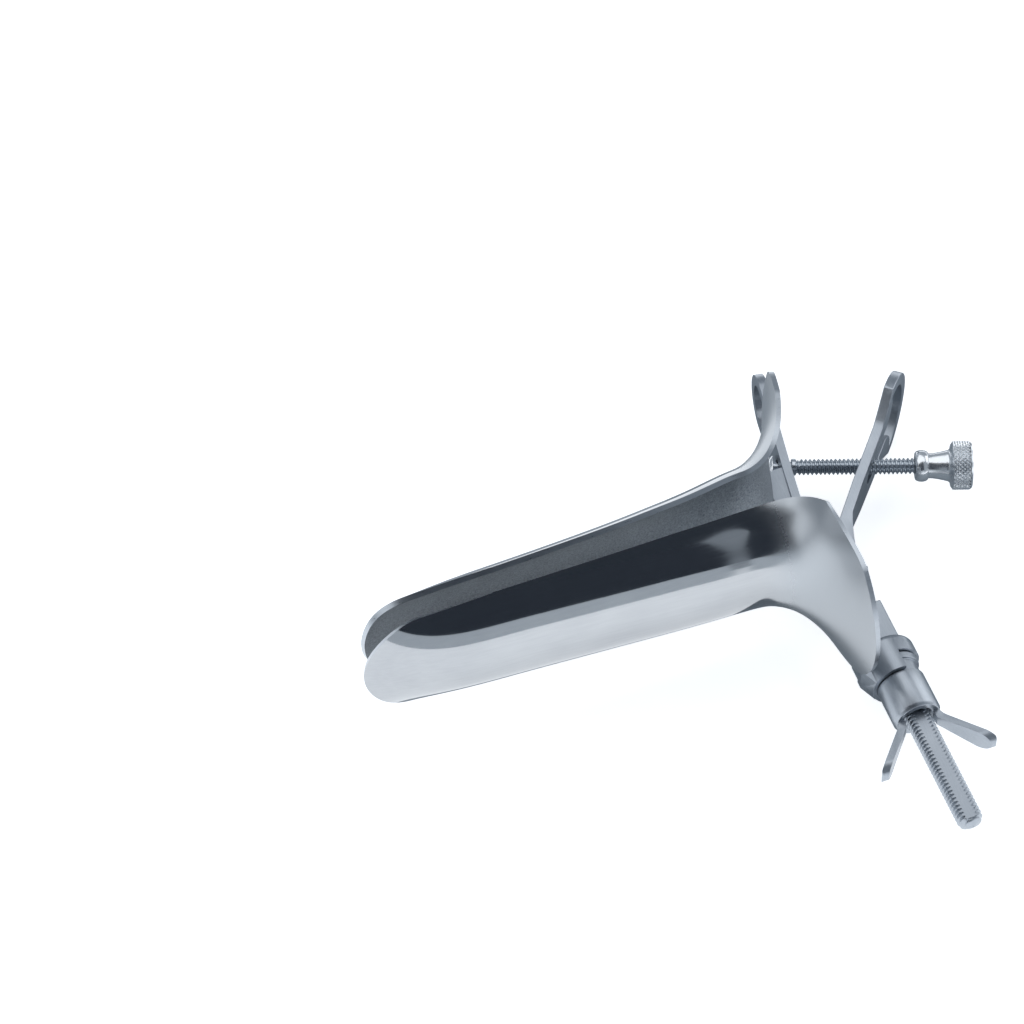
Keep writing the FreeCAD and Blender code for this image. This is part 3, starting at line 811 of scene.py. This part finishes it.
@dataclass
class CrossScrew:
    """Threaded rod pivoted in the front lever, and the thumb nut on it."""

    pivot: tuple[float, float] = (-1.609237, 37.20995)
    droop: float = 19.9
    neck_start: float = -2.2
    neck_radius: float = 1.3
    ring_start: float = 2.1
    ring_width: float = 1.2
    ring_radius: float = 2.0
    chamfer: float = 0.25
    thread_start: float = 3.6
    thread_lead: float = 0.3
    run_out: float = 0.8
    end: float = 43.2
    thread: Thread = field(default_factory=lambda: Thread(1.92, 0.5, 1.0))
    nut_start: float = 31.2
    bore: float = 1.97
    bead_radius: float = 3.75
    bead_width: float = 3.1
    bead_swell: float = 0.2
    waist_width: float = 0.6
    cone_small: float = 2.95
    cone_large: float = 3.65
    cone_power: float = 1.4
    flare_width: float = 0.9
    head_start: float = 8.4
    head_radius: float = 5.75
    head_width: float = 4.9
    head_shoulder: float = 0.7
    head_margin: float = 0.45
    head_step: float = 0.12
    head_chamfer: float = 0.5
    recess_radius: float = 3.1
    recess_depth: float = 2.6
    knurl_mm: float = 1.2
    knurl_depth: float = 0.45
    knurl_sharpness: float = 1.35
    groove_share: float = 0.62

    def place(self) -> Matrix:
        """Returns the turn and shift that bring +X onto the rod."""
        turn = Matrix.Rotation(math.radians(-self.droop), 4, "Z")
        return Matrix.Translation((*self.pivot, 0.0)) @ turn

    def rod(self) -> bpy.types.Object:
        """Builds the rod.

        Returns:
            Its neck, ring and threaded length as one piece.
        """
        solid = Solid()
        root = self.thread.crest - self.thread.depth
        ring_end = self.ring_start + self.ring_width
        lead = self.thread_start - self.thread_lead
        plain = [
            (self.neck_start, 0.0),
            (self.neck_start, self.neck_radius),
            (self.ring_start, self.neck_radius),
            (self.ring_start, self.ring_radius - self.chamfer),
            (self.ring_start + self.chamfer, self.ring_radius),
            (ring_end - self.chamfer, self.ring_radius),
            (ring_end, self.ring_radius - self.chamfer),
            (ring_end, root),
            (lead, root),
        ]
        solid.grid(lathe(plain, 64))
        along = np.arange(lead, self.end, self.thread.pitch / 12)

        def radius(x: np.ndarray, a: np.ndarray) -> np.ndarray:
            """Returns the thread's radius, which starts and ends at its root."""
            start = np.clip((x - lead) / self.run_out, 0, 1)
            stop = np.clip((self.end - x) / self.run_out, 0, 1)
            return root + (self.thread.radius(x, a) - root) * start * stop

        rows = turned_rows(along, radius, 72)
        solid.grid(np.concatenate([rows, lathe([(self.end, 0.0)], 72)]))
        return solid.piece("cross_screw_thread", self.place())

    def nut(self) -> bpy.types.Object:
        """Builds the thumb nut with its diamond knurl.

        Returns:
            The nut, with the second finish's index, a painted shade, on the knurl's grooves.
        """
        start, drum = self.nut_start, self.nut_start + self.head_start
        outer = drum + self.head_width
        waist = start + self.bead_width
        cone_start, flare_start = waist + self.waist_width, drum - self.flare_width
        shoulder, rim = self.head_radius - self.head_shoulder, self.head_radius - self.head_step
        bead = [
            (
                start + self.bead_width * (1 - math.cos(t)) / 2,
                self.bead_radius * (1 - self.bead_swell * (1 - math.sin(t))),
            )
            for t in np.linspace(0, math.pi, 15)
        ]
        cone = [
            (
                cone_start + (flare_start - cone_start) * t,
                self.cone_small + (self.cone_large - self.cone_small) * t**self.cone_power,
            )
            for t in np.linspace(0.1, 1, 8)
        ]
        flare = [
            (
                flare_start + self.flare_width * math.sin(t),
                shoulder - (shoulder - self.cone_large) * math.cos(t),
            )
            for t in np.linspace(0.15, math.pi / 2, 8)
        ]
        knurl_start, knurl_end = drum + self.head_margin, outer - self.head_margin
        front = [
            (start, self.bore),
            *bead,
            (waist, self.cone_small),
            (cone_start, self.cone_small),
            *cone,
            *flare,
            (knurl_start, rim),
        ]
        solid = Solid()
        solid.grid(lathe(front, 180))
        count = round(2 * math.pi * self.head_radius / self.knurl_mm)

        def radius(x: np.ndarray, a: np.ndarray) -> np.ndarray:
            """Returns the head's radius with two sets of crossing grooves cut into it."""
            turns = a / (2 * math.pi) * count
            step = (x - knurl_start) / self.knurl_mm
            left = np.abs(((turns + step) % 1.0) * 2 - 1)
            right = np.abs(((turns - step) % 1.0) * 2 - 1)
            cut = 1 - self.knurl_sharpness * (1 - np.maximum(left, right))
            return self.head_radius - self.knurl_depth * np.clip(cut, 0, 1)

        solid.grid(turned_rows(np.linspace(knurl_start, knurl_end, 56), radius, 540))
        back = [
            (knurl_end, rim),
            (outer, self.head_radius - self.head_chamfer),
            (outer, self.recess_radius + self.chamfer),
            (outer - self.chamfer, self.recess_radius),
            (outer - self.recess_depth, self.recess_radius),
            (outer - self.recess_depth, self.bore),
            (start, self.bore),
        ]
        solid.grid(lathe(back, 180))
        obj = solid.piece("knurled_thumb_nut", self.place())
        inverse = self.place().inverted()
        wall = (self.recess_radius + self.head_radius) / 2
        floor = self.head_radius - self.groove_share * self.knurl_depth
        # Faces deep in the knurl's grooves take the painted groove shade.
        for face in obj.data.polygons:
            spot = inverse @ (face.center / MM)
            if knurl_start < spot.x < knurl_end and wall < math.hypot(spot.y, spot.z) < floor:
                face.material_index = 1
        return obj

    def dress(self) -> None:
        """Builds and finishes rod and nut."""
        finish_piece(self.rod(), "cross_screw", "thread_steel", [CUT_THREAD], "clamp_rod")
        finish_piece(self.nut(), "stop_nut", "knurled_steel", [TURNED_BRIGHT, GROOVE_SHADOW], "thumb_nut")


def lathe(profile: Sequence[tuple[float, float]], around: int) -> np.ndarray:
    """Turns a profile round +X.

    Args:
        profile: places along the axis with their radii.
        around: points in each row.

    Returns:
        Array of rows, points and coordinates.
    """
    places = np.array([p[0] for p in profile])
    radii = np.array([p[1] for p in profile])
    rows = turned_rows(np.arange(len(places), dtype=float), lambda x, a: radii[x.astype(int)], around)
    rows[:, :, 0] = places[:, None]
    return rows


@dataclass
class Studio:
    """Floor, soft lights, camera, and cards that only the steel's reflections show; the two grey cards under
    the instrument are painted shadow.
    """

    floor_drop: float = 0.6
    floor_half_width: float = 3000.0
    floor_colour: str = "#FAFBFC"
    floor_glow: float = 0.58
    room_colour: str = "#AEB7C1"
    room_glow: float = 0.75
    aim: tuple[float, float, float] = (-0.03, 0.0, 0.01)
    lens_px: float = 3235.8
    frame_px: float = 1024.0
    sensor_mm: float = 36.0
    azimuth: float = -15.85
    elevation: float = 51.71
    roll: float = -3.75
    offset_mm: tuple[float, float, float] = (77.27, 16.38, 742.32)

    def camera(self) -> None:
        """Stands the camera where the photograph was taken from."""
        az, el, roll = (math.radians(v) for v in (self.azimuth, self.elevation, self.roll))
        ahead = Vector((-math.sin(az) * math.cos(el), math.cos(az) * math.cos(el), -math.sin(el)))
        right = Vector((math.cos(az), math.sin(az), 0.0))
        up = right.cross(ahead)
        level = Matrix((right, up, -ahead)).transposed()
        turn = level @ Matrix.Rotation(roll, 3, "Z")
        data = bpy.data.cameras.new("camera")
        data.sensor_width = self.sensor_mm
        data.lens = self.lens_px / self.frame_px * self.sensor_mm
        cam = bpy.data.objects.new("camera", data)
        x, y, z = self.offset_mm
        spot = turn @ Vector((-x, y, z)) * MM
        cam.matrix_world = Matrix.Translation(spot) @ turn.to_4x4()
        data.clip_end = 20.0
        bpy.context.scene.collection.objects.link(cam)
        bpy.context.scene.camera = cam

    def plane(
        self, name: str, corners: Sequence[tuple[float, float, float]], colour: str, glow: float
    ) -> bpy.types.Object:
        """Adds a flat stage piece.

        Args:
            name: the piece's name.
            corners: its corners in millimetres.
            colour: sRGB hex colour.
            glow: strength of its own light.

        Returns:
            The piece, marked as stage.
        """
        solid = Solid()
        solid.points = list(corners)
        solid.faces = [tuple(range(len(corners)))]
        obj = solid.piece(name)
        made = bpy.data.materials.new(name + "_paint")
        made.use_nodes = True
        shader = made.node_tree.nodes["Principled BSDF"]
        shader.inputs["Base Color"].default_value = linear(colour)
        shader.inputs["Roughness"].default_value = 0.9
        shader.inputs["Specular IOR Level"].default_value = 0.0
        shader.inputs["Emission Color"].default_value = linear(colour)
        shader.inputs["Emission Strength"].default_value = glow
        obj.data.materials.append(made)
        obj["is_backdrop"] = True
        return obj

    def lamp(self, name: str, spot: tuple[float, float, float], size: float, power: float) -> None:
        """Hangs a square soft light, aimed at the object's middle.

        Args:
            name: the light's name.
            spot: its place in metres.
            size: its side in metres.
            power: its power in watts.
        """
        data = bpy.data.lights.new(name, "AREA")
        data.shape = "SQUARE"
        data.size = size
        data.energy = power
        lamp = bpy.data.objects.new(name, data)
        lamp.location = spot
        aim = Vector(self.aim) - Vector(spot)
        lamp.rotation_mode = "QUATERNION"
        lamp.rotation_quaternion = aim.to_track_quat("-Z", "Y")
        bpy.context.scene.collection.objects.link(lamp)

    def build(self) -> None:
        """Sets the whole stage."""
        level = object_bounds()[0].z / MM - self.floor_drop
        wide = self.floor_half_width
        square = [(-wide, -wide, level), (wide, -wide, level), (wide, wide, level), (-wide, wide, level)]
        self.plane("floor", square, self.floor_colour, self.floor_glow)
        cards = {
            "dark_wall": (
                "#3C4149",
                [(-420, -245, 80), (20, -245, 80), (50, -245, 330), (-420, -245, 330)],
            ),
            "dark_roof": (
                "#343940",
                [(-420, -245, 330), (50, -245, 330), (80, -30, 360), (-420, -30, 360)],
            ),
            "grey_wall": (
                "#D3D8DC",
                [(-420, -246, 1), (20, -246, 1), (20, -246, 80), (-420, -246, 80)],
            ),
            # Painted shadow: grey cards under the blades and the mouth, seen only in reflections, stand in for
            # the instrument's shadow on the floor.
            "blade_shadow_card": (
                "#B4BBC1",
                [(-112, 2, 1), (-26, 2, 1), (-26, 90, 1), (-112, 90, 1)],
            ),
            "mouth_shadow_card": (
                "#9BA3AA",
                [(-26, 2, 1), (-14, -40, 1), (90, -40, 1), (90, 90, 1), (-26, 90, 1)],
            ),
        }
        for name, (colour, corners) in cards.items():
            card = self.plane(name, [(x, y, level + z) for x, y, z in corners], colour, 0.0)
            card.visible_camera = False
            card.visible_diffuse = False
            card.visible_shadow = False
        self.lamp("overhead", (-0.15, 0.25, 1.1), 1.5, 6.0)
        self.lamp("left_window", (-1.0, -0.35, 0.7), 1.1, 3.0)
        self.lamp("right_window", (0.9, 0.1, 0.5), 0.8, 2.5)
        world = bpy.data.worlds.new("room")
        world.use_nodes = True
        background = world.node_tree.nodes["Background"]
        background.inputs["Color"].default_value = linear(self.room_colour)
        background.inputs["Strength"].default_value = self.room_glow
        bpy.context.scene.world = world
        bpy.context.scene.view_settings.view_transform = "Standard"
        self.camera()


def main() -> None:
    """Builds the classes in order."""
    logging.basicConfig(level=logging.INFO, format="%(message)s")
    Blade(
        "lower_blade",
        "lower_half",
        "polished_steel",
        Side.LOWER,
        (MIRROR_POLISHED, BEAD_BLASTED, BRIGHT_EDGE),
        tip_reach=115.6,
        rim_reach=9.0,
        rim_half_width=23.5,
        tip_edge=-1.0,
        throat_edge=0.3,
        corner_y=-11.0,
        rim_y=-34.6,
        swell=0.62,
    ).dress()
    Blade(
        "upper_blade",
        "upper_half",
        "blasted_steel",
        Side.UPPER,
        (MIRROR_POLISHED, BEAD_BLASTED, BRIGHT_EDGE),
        tip_reach=113.6,
        rim_reach=7.0,
        rim_half_width=22.0,
        tip_edge=4.8,
        throat_edge=10.4,
        corner_y=33.5,
        rim_y=37.8,
        swell=0.25,
    ).dress()
    Post().dress()
    CrossScrew().dress()
    Gusset().dress()
    for part in (
        RoundedPart("rear_lever", "frame", "satin_steel", SATIN_BRUSHED, 0.5),
        RoundedPart("front_lever", "upper_half", "satin_steel", SATIN_BRUSHED, 0.45),
        RoundedPart("hinge_pin", "frame", "satin_steel", TURNED_BRIGHT, 0.12),
        RoundedPart("slide_collar", "lower_half", "satin_steel", SATIN_BRUSHED, 0.25, (-8.0, -25.0, 1.7)),
        RoundedPart("wing_nut", "height_nut", "satin_steel", SATIN_BRUSHED, 0.2),
        RoundedPart("nut_wings", "height_nut", "satin_steel", SATIN_BRUSHED, 0.6),
        RoundedPart("rod_rivet", "cross_screw", "satin_steel", TURNED_BRIGHT, 0.15),
        RoundedPart("rod_end_cap", "cross_screw", "satin_steel", TURNED_BRIGHT, 0.15),
    ):
        part.dress()
    Studio().build()


if __name__ == "__main__":
    main()
